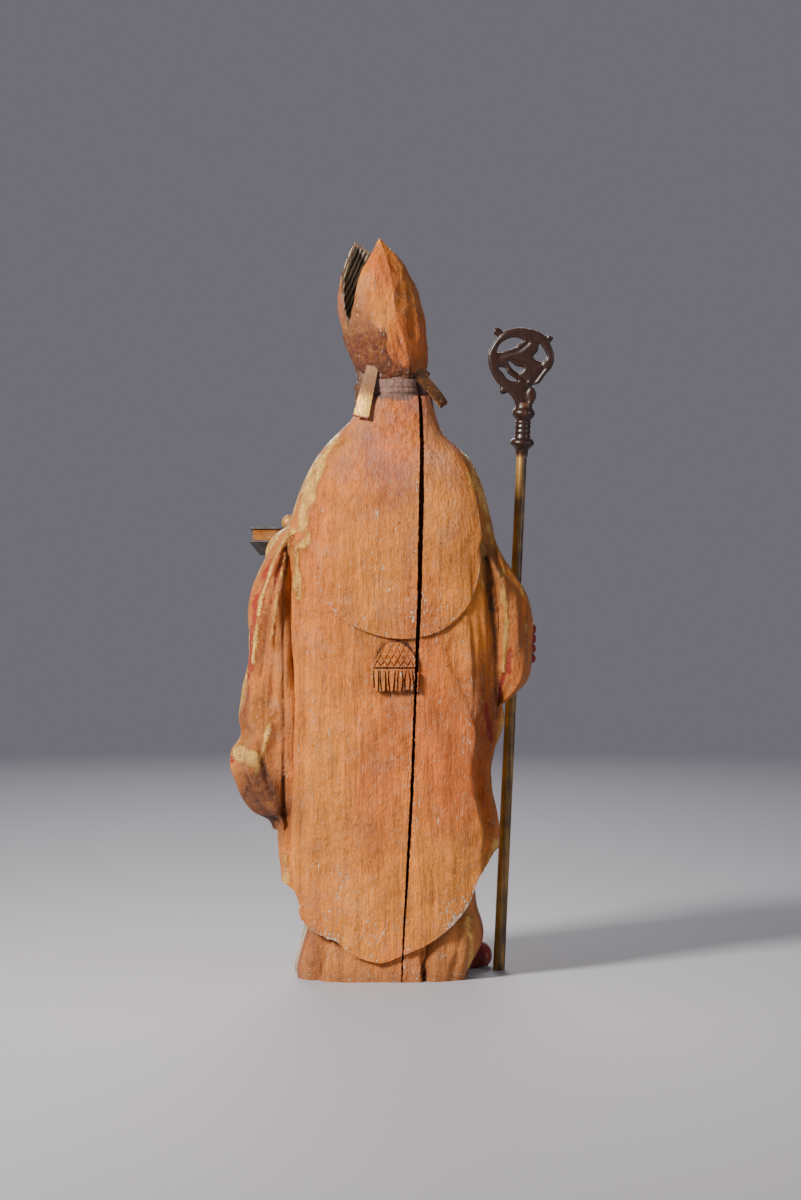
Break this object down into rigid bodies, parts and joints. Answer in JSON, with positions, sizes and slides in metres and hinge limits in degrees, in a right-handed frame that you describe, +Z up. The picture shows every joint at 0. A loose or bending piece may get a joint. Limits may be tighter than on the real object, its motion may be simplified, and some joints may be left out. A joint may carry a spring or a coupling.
{
  "type": "carved saint statue",
  "caption": "Carved and painted wooden statue of a standing bishop saint in cope and mitre, with a book, golden balls and a tall crosier; worn gilding and a drying crack down the back.",
  "frame": {"origin": "on the flat underside of the robe, on the upright axis through the middle of the base", "axes": "+Z up to the tip of the mitre; the figure faces -Y, its flattened back is towards +Y, its left hand with the book is at +X and its right hand with the crosier at -X"},
  "size_m": [0.4084, 0.2364, 0.9251],
  "materials": {
    "figure": "ochre paint over bare wood, worn gilding at the edges",
    "mitre": "ochre paint over gouged wood",
    "lappet_left": "gilt, worn",
    "lappet_right": "gilt, worn brown",
    "book": "black paint, gilt leaves",
    "golden_ball_1": "gilt, worn",
    "golden_ball_2": "gilt, worn",
    "golden_ball_3": "gilt, worn",
    "crosier_staff": "gilt under brown varnish",
    "crosier_head": "dark brown varnish over gilding"
  },
  "bodies": {
    "root": {"figure": "figure", "mitre": "mitre", "lappet_left": "lappet_left", "lappet_right": "lappet_right", "book": "book", "golden_ball_1": "golden_ball_1", "golden_ball_2": "golden_ball_2", "golden_ball_3": "golden_ball_3", "crosier_staff": "crosier_staff", "crosier_head": "crosier_head"}
  },
  "joints": []
}
